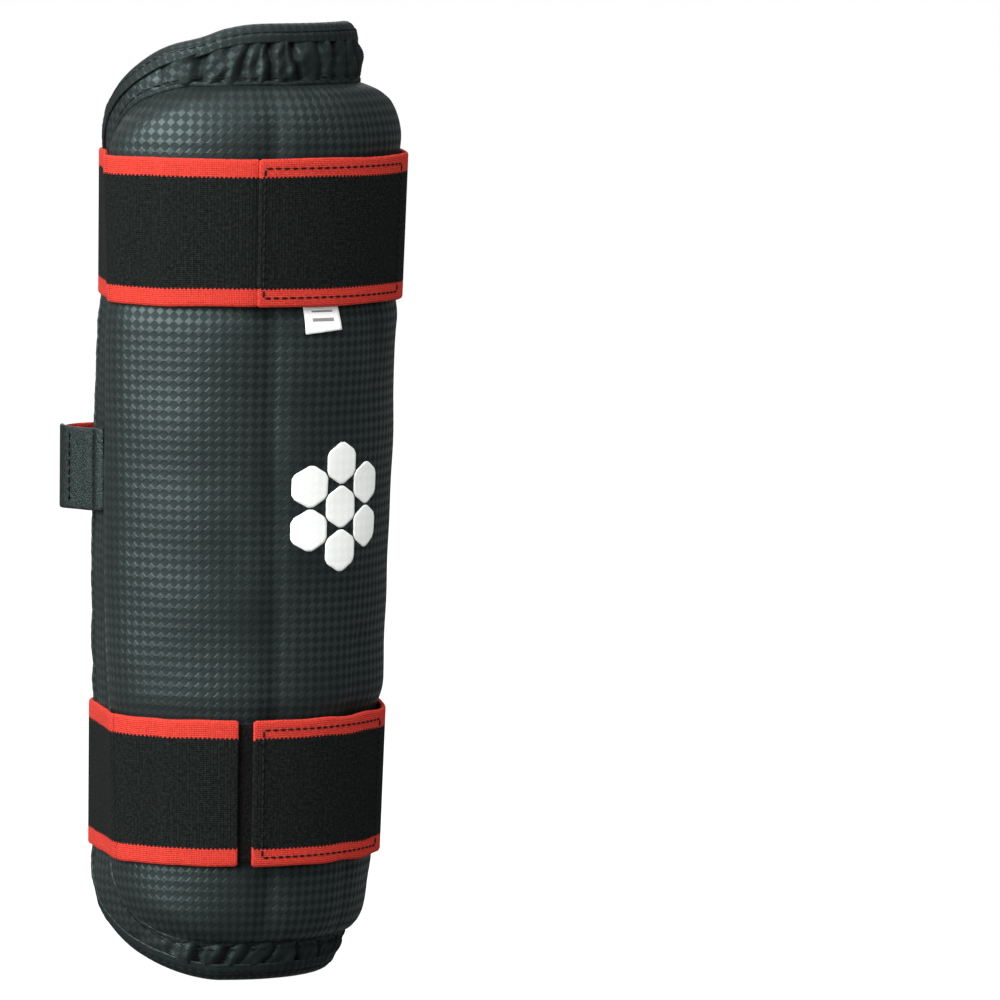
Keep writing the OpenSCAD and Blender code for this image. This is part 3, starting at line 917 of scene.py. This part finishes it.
def pad_surface(angle, z, extra=0.0):
    """Outer radius of the padded cover."""
    arc = np.radians(angle) * PAD_MID_R
    side = (pad_angle(z) - np.abs(angle)) * math.pi / 180 * PAD_MID_R / PAD_SIDE_SLOPE
    end = np.minimum((PAD_TOP - z) / PAD_END_ROUND, (z - PAD_BOTTOM) / PAD_FOOT_ROUND)
    depth = np.where(angle < 0, GROOVE_DEPTH, 0.6 * GROOVE_DEPTH * (1 - hump(z, 0, 27 * MM, 4)))
    groove = depth * hump(np.abs(angle), groove_place(z), 5.0, 1.6)
    belly = 0.5 * MM * np.cos(np.radians(angle * 3.2)) ** 2
    tall = pad_radius(z) - PAD_RIM_R - SKIN_T - groove + strap_press(z) - 0.3 * MM + belly
    soft = 0.30 * MM * cloth_waves(arc, z)
    hem = np.exp(-np.minimum(side * PAD_SIDE_SLOPE, end * PAD_END_ROUND) / (3.2 * MM))
    ruffle = 0.55 * MM * hem * np.abs(small_waves(arc, z * 0.35)) * (end < 1)
    height = (tall + soft) * slope(side) * rounding(end) - ruffle * rounding(side * 8)
    return PAD_RIM_R + SKIN_T + height + extra + lean(angle, z, collar=0.35)


def pad_columns(cols):
    """Shares of the pad's half angle from -1 to 1, a little closer together near its sides."""
    return 0.55 * spread(cols) + 0.45 * np.linspace(-1, 1, cols + 1)


PAD_ROWS, PAD_COLS = 240, 240
UNFILLED = -0.5 * MM  # the cover's place before the filling presses it out


def pad_grid(rows, cols):
    z = PAD_MID + (PAD_TOP - PAD_BOTTOM) / 2 * spread(rows)
    return pad_angle(z)[:, None] * pad_columns(cols)[None, :], np.repeat(z[:, None], cols + 1, axis=1)


def pad_settling(rows, cols):
    """How far the cover moves out or in when the filling presses on its sewn cloth."""
    sim_rows, sim_cols = 104, 116
    angle, z = pad_grid(sim_rows, sim_cols)
    start = pad_surface(angle, z, extra=UNFILLED)
    rim = np.minimum(pad_angle(z) - np.abs(angle), 1000 * np.minimum(PAD_TOP - z, z - PAD_BOTTOM))
    quilted = 0.75 * hump(np.abs(angle), groove_place(z), 2.2) * (angle < 0)
    strapped = sum(ease((z - t["low"]) / (3 * MM) + 1) * ease((t["high"] - z) / (3 * MM) + 1)
                   for t in STRAPS.values())
    sewn = np.maximum(np.maximum(1 - ease((rim - 0.7) / 1.2), quilted), 0.85 * clamp01(strapped))
    slack = ease(rim / 2) * (1 - ease((rim - 9) / 9)) * (1 - 0.8 * clamp01(strapped))
    points = polar(angle, start, z)
    points = points + RANDOM.normal(0, 0.02 * MM, points.shape)
    settled = settle(points, sewn, slack, pressure=4.0, excess=0.05)
    moved = np.hypot(settled[..., 0], settled[..., 1]) - np.hypot(points[..., 0], points[..., 1])
    moved = np.clip(moved, -0.8 * MM, 1.6 * MM)
    moved = np.where(moved < 0, moved * (0.15 + 0.85 * slack), moved)
    return cubic_weights(rows, sim_rows) @ moved @ cubic_weights(cols, sim_cols).T


SETTLED = pad_settling(PAD_ROWS, PAD_COLS)


def pad_outside(angle, z):
    """Outer radius of the settled cover, anywhere on the pad."""
    lift = clamp01((z - PAD_BOTTOM) / (PAD_TOP - PAD_BOTTOM))
    row = (np.arcsin(np.clip(2 * lift - 1, -1, 1)) / np.pi + 0.5) * PAD_ROWS
    column = np.interp(angle / pad_angle(z), pad_columns(PAD_COLS), np.arange(PAD_COLS + 1))
    i = np.clip(row.astype(int), 0, PAD_ROWS - 1)
    j = np.clip(column.astype(int), 0, PAD_COLS - 1)
    a, b = row - i, column - j
    low = SETTLED[i, j] * (1 - b) + SETTLED[i, j + 1] * b
    high = SETTLED[i + 1, j] * (1 - b) + SETTLED[i + 1, j + 1] * b
    return pad_surface(angle, z, extra=UNFILLED) + low * (1 - a) + high * a


def make_pad():
    angle, z = pad_grid(PAD_ROWS, PAD_COLS)
    outer = pad_surface(angle, z, extra=UNFILLED) + SETTLED
    inner = PAD_RIM_R - 0.3 * MM + lean(angle, z)
    cover = slab("pad_cover_vinyl", polar(angle, outer, z), polar(angle, inner, z),
                 unrolled(angle, z, PAD_MID_R))
    finish_piece(cover, VINYL, replaces=("pad_cover",))

    z = PAD_MID + (PAD_TOP - PAD_BOTTOM - 5 * MM) / 2 * spread(50)[:, None]
    across = (spread(24)[None, :] + 1) / 2
    edge, gap = pad_angle(z) - 3, 0.6
    for side, low, high in (("left", -edge, -GROOVE_ANGLE - gap),
                            ("center", -GROOVE_ANGLE + gap, GROOVE_ANGLE - gap),
                            ("right", GROOVE_ANGLE + gap, edge)):
        a, h = np.broadcast_arrays(low + (high - low) * across, z)
        base = PAD_RIM_R + 0.2 * MM + lean(a, h)
        top = np.maximum(pad_surface(a, h) - 2.6 * MM, base + 0.2 * MM)
        block = slab(f"pad_foam_{side}_block", polar(a, top, h), polar(a, base, h), unrolled(a, h))
        finish_piece(block, FOAM, replaces=(f"pad_foam_{side}",))
    make_pad_seam()


def pad_outline():
    width = PAD_ANGLE - PAD_CORNER_ANGLE
    top, bottom = (corner(PAD_CORNER_ANGLE, width, end - height, height, 2, 40)
                   for end, height in ((PAD_TOP, PAD_CORNER_H), (PAD_BOTTOM, -PAD_CORNER_H)))
    angle, z = closed_outline(top, bottom, 120)
    share = (np.abs(angle) - PAD_CORNER_ANGLE) / width
    narrowed = np.sign(angle) * (PAD_CORNER_ANGLE + share * (pad_side(z) - PAD_CORNER_ANGLE))
    return np.where(share > 0, narrowed, angle), z


def make_pad_seam():
    """A welt and a row of stitches where the pad is sewn to the flange."""
    angle, z, outward, at = edge_frame(pad_outline(), 1.4 * MM)
    wobble = 0.25 * MM * small_waves(at, at * 0)
    columns, uvs = [], []
    for k in range(10):
        turn = 2 * math.pi * k / 10
        a, h = beyond(angle, z, outward, 0.9 * MM * math.cos(turn) + 0.5 * MM + wobble)
        radius = COVER_R + 0.55 * MM + 0.75 * MM * math.sin(turn)
        columns.append(polar(a, radius + lean(a, z), h))
        uvs.append(np.stack([at, np.full_like(at, 0.6 * MM * k)], axis=1))
    welt = sweep("pad_seam_welt", columns, uvs, closed=True)
    finish_piece(welt, BINDING)

    angle, z, outward, at = edge_frame((angle, z), 3.4 * MM)
    a, h = beyond(angle, z, outward, 2.4 * MM)
    here = polar(a, COVER_R + pleats(a, h) + 0.12 * MM + lean(a, h), h)
    stitches("pad_seam_stitches", here, radius=0.22 * MM)


# ---------------------------------------------------------------- straps

BACK_ANGLE = 132
STRAIGHT_ANGLE = 84
BACK_R = COVER_R + 1.2 * MM
TAPE_W, TAPE_T = STRAP_W - 2.4 * MM, 1.0 * MM
TAB_LIFT = 2 * TAPE_T + 0.35 * MM
BAND_LIFT = TAPE_T + 0.05 * MM
TAB_END = {"upper": -28.1, "lower": -27.5}
BAND_END = {"upper": -27.6, "lower": -32.5}
BOX_INSET = {"upper": 1.7, "lower": 3.4}
LOOP_END = 28
SHOULDER = 97
TAB_BEND = 40
BAND_BEND = -64
MEET_TAB = 70
MEET_BAND = -81


def plan(angle, radius):
    a = np.radians(angle)
    return np.stack([radius * np.sin(a), -radius * np.cos(a)], axis=-1)


def hug_radius(angle, front):
    """Radius under a strap that lies on the pad's rounded side."""
    side = np.radians(PAD_ANGLE - np.abs(angle)) * PAD_MID_R / PAD_SIDE_SLOPE
    rim = PAD_RIM_R + SKIN_T + 0.35 * MM
    return rim + (front - rim) * slope(side)


def lay_radius(angle, front):
    """Radius under a strap that lies on the pad and runs straight on from it to the flange's edge."""
    b = np.abs(angle)
    p, q = plan(STRAIGHT_ANGLE, hug_radius(STRAIGHT_ANGLE, front)), plan(BACK_ANGLE, BACK_R)
    way = q - p
    ray = plan(b, 1.0)
    cross = (p[0] * way[1] - p[1] * way[0]) / (ray[..., 0] * way[1] - ray[..., 1] * way[0])
    return np.where(b <= STRAIGHT_ANGLE, hug_radius(b, front), np.where(b < BACK_ANGLE, cross, BACK_R))


def ribbon_section(width, thickness):
    """Closed outline of a tape standing on edge, as (height, depth) pairs with rounded edges."""
    half = width / 2
    edge = thickness / 2
    up = np.linspace(-half + edge, half - edge, 37)
    turn = np.linspace(-np.pi / 2, np.pi / 2, 5)[1:-1]
    outer = [(h, thickness) for h in up]
    top = [(half - edge + edge * math.cos(t), edge - edge * math.sin(t)) for t in turn]
    inner = [(h, 0.0) for h in up[::-1]]
    bottom = [(-half + edge - edge * math.cos(t), edge + edge * math.sin(t)) for t in turn]
    return outer + top + inner + bottom


def upright(angle, h):
    return 0.0


def ribbon(name, angle, radius, middle, width, thickness, soft_ends=(False, False), wander=0.0, sway=upright):
    """A tape along angles, with its inner face at radius, standing on edge at height middle.

    soft_ends rounds the corners of the tape's start or end, wander is the random waviness of its two
    edges, and sway(angle, height) moves points radially."""
    path = plan(angle, radius)
    tangent = np.gradient(path, axis=0)
    tangent /= np.linalg.norm(tangent, axis=1)[:, None]
    normal = np.stack([tangent[:, 1], -tangent[:, 0]], axis=1)
    normal *= np.sign(np.sum(normal * path, axis=1))[:, None]
    s = np.concatenate([[0], np.cumsum(np.linalg.norm(np.diff(path, axis=0), axis=1))])
    end_round = 0.5 * MM
    squeeze = np.zeros_like(s)
    for wanted, gap in zip(soft_ends, (s, s[-1] - s)):
        if wanted:
            squeeze = np.maximum(squeeze, end_round * (1 - rounding(gap / end_round)))
    edge_wave = waves(len(name) * 31 + int(middle / MM), 9, 14 * MM, 46 * MM)
    columns, uvs = [], []
    for h, t in ribbon_section(width, thickness):
        share = h / (width / 2)
        height = middle + h - share * squeeze + wander * share * edge_wave(s, s * 0 + share * 3 * MM)
        xy = path + normal * np.reshape(t + sway(angle, h), (-1, 1))
        columns.append(np.column_stack([xy, height]))
        uvs.append(np.stack([s, np.full_like(s, h)], axis=1))
    return sweep(name, columns, uvs)


def strap_front(side):
    return pad_radius(STRAPS[side]["high"]) + 0.35 * MM


def tab_rise(angle):
    return TAB_LIFT * (1 - ease((angle - 30) / 26))


def band_rise(angle):
    return BAND_LIFT * ease((angle - BAND_BEND - 1) / 6)


def tab_curl(angle, tab_end):
    """How far the tab's free end stands off."""
    return 0.5 * MM * np.exp(-(angle - tab_end) / 5)


def strap_point(side, angle, front):
    radius = float(lay_radius(np.array(angle), front)) + STRAP_T
    return tuple(polar(angle, radius, STRAPS[side]["middle"]))


def run(a0, a1, step=1.0):
    return np.linspace(a0, a1, int(abs(a1 - a0) / step) + 1)


def make_strap(side):
    middle, front = STRAPS[side]["middle"], strap_front(side)
    tab_end, band_end = TAB_END[side], BAND_END[side]

    def flare(angle, h):
        """The front runs follow the pad's taper, and the back run stands straight on the flanges."""
        taper = PAD_TAPER * (h - STRAP_W / 2) * (1 - ease((np.abs(angle) - 88) / 25))
        return taper + lean(np.minimum(np.abs(angle), PANEL_ANGLE), middle + h * 0)

    def stretch(part, angle, rise, bend, nodes, soft_ends=(False, False)):
        """One stretch of the strap, laid along its angles, standing in for the listed CAD nodes and belonging
        to no body; the points at its two bend angles are worked out but not used.
        """
        piece = ribbon(f"{side}_strap_{part}", angle, lay_radius(angle, front) + rise, middle, STRAP_W,
                       STRAP_T, soft_ends, 0.18 * MM, flare)
        finish_piece(piece, WEBBING, body=None, replaces=[f"{side}_{node}" for node in nodes])
        start, end = (strap_point(side, at, front) for at in bend)
        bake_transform(piece)

    def tape(kind, material, angle, lift, body):
        piece = ribbon(f"{side}_{kind}_tape", angle, np.full_like(angle, front + lift), middle, TAPE_W,
                       TAPE_T, sway=flare)
        finish_piece(piece, material, body=body, replaces=(f"{side}_{kind}_patch",))

    tab_inner, tab_outer = f"{side}_tab_inner", f"{side}_tab_outer"
    band_inner, band_outer = f"{side}_band_inner", f"{side}_band_outer"
    angle = run(180, MEET_TAB)
    stretch("right", angle, tab_rise(angle), (SHOULDER + 7, SHOULDER - 7),
            ("back_span", "tab_inner"))
    angle = run(MEET_TAB, tab_end, 0.8)
    stretch("tab", angle, tab_rise(angle) + tab_curl(angle, tab_end),
            (TAB_BEND + 7, TAB_BEND - 7), ("tab_outer",), (False, True))
    stretch("left", run(-180, MEET_BAND)[::-1], 0.0,
            (-SHOULDER - 7, -SHOULDER + 7), ("band_inner",))
    angle = run(band_end, MEET_BAND, 0.8)
    stretch("band", angle, band_rise(angle),
            (BAND_BEND - 6, BAND_BEND + 6), ("band_outer",), (True, False))
    tape("loop", LOOP, run(LOOP_END, BAND_BEND + 8, 0.8), 0.0, band_outer)
    tape("hook", HOOK, run(LOOP_END + 1.2, tab_end + 1.2, 0.8), TAPE_T + 0.3 * MM, tab_outer)
    make_box_stitch(side, middle, front, tab_end, flare)


def make_box_stitch(side, middle, front, tab_end, flare):
    """Stitches round the hook tape, through the tab."""
    half = STRAP_W / 2 - 3.0 * MM
    left, right = tab_end + BOX_INSET[side], LOOP_END + 2
    across = run(left, right, 2.6)
    up = np.linspace(-half, half, int(2 * half / (2.4 * MM)))
    corners = [(a, -half) for a in across[:-1]] + [(right, h) for h in up[:-1]]
    corners += [(a, half) for a in across[:0:-1]] + [(left, h) for h in up[:0:-1]]
    angle, h = np.array(corners).T
    radius = front + tab_rise(angle) + tab_curl(angle, tab_end) + STRAP_T + flare(angle, h) + 0.05 * MM
    here = polar(angle, radius, middle + h)
    stitches(f"{side}_box_stitches", here, body=f"{side}_tab_outer", radius=0.36 * MM)


# ---------------------------------------------------------------- mid stay

STAY_Z = box_middle("mid_band")
STAY_START, STAY_END = 116, 254
BULGE_ANGLE, BULGE_SPREAD, BULGE = 233, 17, 7.2 * MM


def stay_radius(angle):
    over = 1.1 * MM * ease((angle - STAY_START - 2) / 5) * ease((STAY_END - 3 - angle) / 5)
    q = (angle - BULGE_ANGLE) / BULGE_SPREAD
    bulge = np.where(np.abs(q) < 1, BULGE * np.cos(np.pi / 2 * np.clip(q, -1, 1)) ** 2, 0)
    return COVER_R + 0.05 * MM + over + bulge


def make_stay():
    angle = run(STAY_END, STAY_START, 0.8)
    band = ribbon("mid_band_webbing", angle, stay_radius(angle), STAY_Z, STAY_W, STAY_T,
                  wander=0.15 * MM)
    finish_piece(band, STAY_WEBBING, replaces=("mid_band",))
    angle = run(STAY_END + 2.4, BULGE_ANGLE - 2, 0.6)
    cover_lift = (STAY_T + 0.1 * MM) * ease((STAY_END + 2.2 - angle) / 2.2)
    tab = ribbon("mid_tab_vinyl", angle, stay_radius(angle) + cover_lift, STAY_Z, STAY_W + 1 * MM,
                 1.2 * MM, soft_ends=(True, True), wander=0.3 * MM)
    finish_piece(tab, GRAIN, replaces=("mid_tab",))
    for index, at in enumerate((STAY_END - 3.2, BULGE_ANGLE + 6)):
        spots = np.array([at - 0.1, at + 0.1])
        near, far = plan(spots, stay_radius(spots))
        along = (far - near) / np.linalg.norm(far - near)
        outward = np.array([along[1], -along[0]])
        foot = (near + far) / 2 + outward * (STAY_T + 1.35 * MM)
        h = np.linspace(-STAY_W / 2 + 1.5 * MM, STAY_W / 2 - 1.5 * MM, 9)
        row = np.column_stack([np.tile(foot, (9, 1)), STAY_Z + h])
        stitches(f"mid_tab_stitches_{index}", row[:-1], row[1:])


# ---------------------------------------------------------------- label and mark

MARK_ANGLE = 6
MARK_PITCH = 13.6 * MM
MARK_CELL_R = 7 * MM


def make_mark():
    """Seven plain hexagonal cells, printed on the pad's front."""
    spokes, rings = 48, 9
    turn = np.arange(spokes) * 2 * np.pi / spokes
    off_corner = np.abs((turn + np.pi / 6) % (np.pi / 3) - np.pi / 6)
    hexagon = MARK_CELL_R * math.cos(math.pi / 6) / np.cos(off_corner)
    hexagon = hexagon - 0.5 * MM * hump(off_corner, math.pi / 6, 0.09)
    centres = [(0.0, 0.0)] + [
        (-MARK_PITCH * math.sin(math.radians(60 * k)), MARK_PITCH * math.cos(math.radians(60 * k)))
        for k in range(6)
    ]
    levels = [(max(i / rings, 0.02), 0.22 * MM) for i in range(rings)]
    levels += [(1.0, 0.16 * MM), (1.0, -0.25 * MM)]
    points, faces, uvs = [], [], []
    for cx, cz in centres:
        faces += flipped(tube_faces(len(levels), spokes, len(points)))
        for share, proud in levels:
            x = cx + hexagon * share * np.cos(turn)
            z = cz + hexagon * share * np.sin(turn)
            angle = MARK_ANGLE + np.degrees(np.arcsin(x / (PAD_MID_R + 0.2 * MM)))
            points += list(polar(angle, pad_outside(angle, z) + proud, z))
            uvs += list(unrolled(angle, z, PAD_MID_R))
    mark = mesh_object("front_mark_print", np.array(points), faces, np.array(uvs))
    finish_piece(mark, PRINT, replaces=("front_emblem",))


def make_label():
    """A blank woven label, caught under the upper strap and curling off the pad."""
    top = STRAPS["upper"]["low"] + 2 * MM
    rows, cols = 14, 16
    z = np.linspace(top - LABEL_L, top, rows)[:, None] + np.zeros((1, cols))
    x = np.linspace(-LABEL_W / 2, LABEL_W / 2, cols)[None, :] + np.zeros((rows, 1))
    drop = (top - z) / LABEL_L
    angle = -5 + np.degrees((x + 0.6 * MM * drop) / PAD_MID_R)
    curl = 0.15 * MM + 0.5 * MM * drop ** 2 + 0.35 * MM * drop * (x / LABEL_W * 2)
    z = z + 0.10 * x
    radius = pad_outside(angle, z) + curl + 0.15 * MM
    uv = np.stack([x, z - top + LABEL_L / 2], axis=-1)
    label = slab("size_label_blank", polar(angle, radius + 0.35 * MM, z), polar(angle, radius, z), uv)
    finish_piece(label, LABEL, replaces=("size_label",))


# ---------------------------------------------------------------- camera, floor and light

def make_camera():
    azimuth, elevation, roll, distance = -40, 5.5, math.radians(0.6), 2.62
    across_view = 0.3135  # metres across the frame at the guard
    aim_right, aim_up = 86.5 * MM, -0.9 * MM
    away = toward(azimuth, elevation)
    right = polar(azimuth + 90, 1.0, 0.0)
    up = np.cross(away, right)
    data = bpy.data.cameras.new("camera")
    data.sensor_width = 36
    data.lens = 36 * distance / across_view
    data.clip_end = 60
    camera = add_object("camera", data)
    matrix = np.eye(4)
    matrix[:3, 0] = right * math.cos(roll) + up * math.sin(roll)
    matrix[:3, 1] = up * math.cos(roll) - right * math.sin(roll)
    matrix[:3, 2] = away
    matrix[:3, 3] = right * aim_right + up * aim_up + away * distance
    camera.matrix_world = mathutils.Matrix(matrix.tolist())
    bpy.context.scene.camera = camera


def area_light(name, azimuth, elevation, distance, size, power):
    data = bpy.data.lights.new(name, "AREA")
    data.shape = "RECTANGLE"
    data.size, data.size_y = size
    data.energy = power
    light = add_object(name, data)
    place = toward(azimuth, elevation) * distance
    light.location = place
    light.rotation_euler = mathutils.Vector(-place).to_track_quat("-Z", "Y").to_euler()
    return light


def make_floor():
    size = 14.0
    level = GUARD_BOTTOM - 0.4 * MM
    points = [(-size, -size, level), (size, -size, level), (size, size, level), (-size, size, level)]
    floor = mesh_object("floor", points, [(0, 1, 2, 3)], [p[:2] for p in points])
    g = Graph("floor_paper")
    tint = g.noise(g.place(), 3.0, 3)
    colour = g.blend(tint, (0.12, 0.12, 0.12), (0.13, 0.13, 0.13))
    floor.data.materials.append(g.surface(colour, 0.9, specular=0.0))
    g.shader.inputs["Emission Color"].default_value = (1, 1, 1, 1)
    g.shader.inputs["Emission Strength"].default_value = 0.97
    floor.visible_diffuse = False
    floor.visible_glossy = False


def make_light():
    world = bpy.data.worlds.new("studio")
    world.use_nodes = True
    background = world.node_tree.nodes["Background"].inputs
    background["Color"].default_value = (1, 1, 1, 1)
    background["Strength"].default_value = 0.20
    bpy.context.scene.world = world
    area_light("key", -84, 25, 1.9, (1.9, 1.6), 112)
    area_light("front", 5, 40, 2.3, (0.9, 0.9), 14)
    area_light("top", -60, 82, 2.0, (2.4, 2.4), 22)
    fill = area_light("fill", 25, 15, 2.4, (1.2, 1.2), 24)
    fill.visible_glossy = False
    area_light("back", 150, 35, 2.4, (1.5, 1.5), 14)
    bpy.context.scene.view_settings.view_transform = "Standard"


make_camera()
make_floor()
make_light()
make_shell()
for elastic in ("gather_elastic_top", "gather_elastic_bottom"):
    make_gather_elastic(elastic)
make_binding()
make_pad()
for strap_side in STRAPS:
    make_strap(strap_side)
make_stay()
make_mark()
make_label()
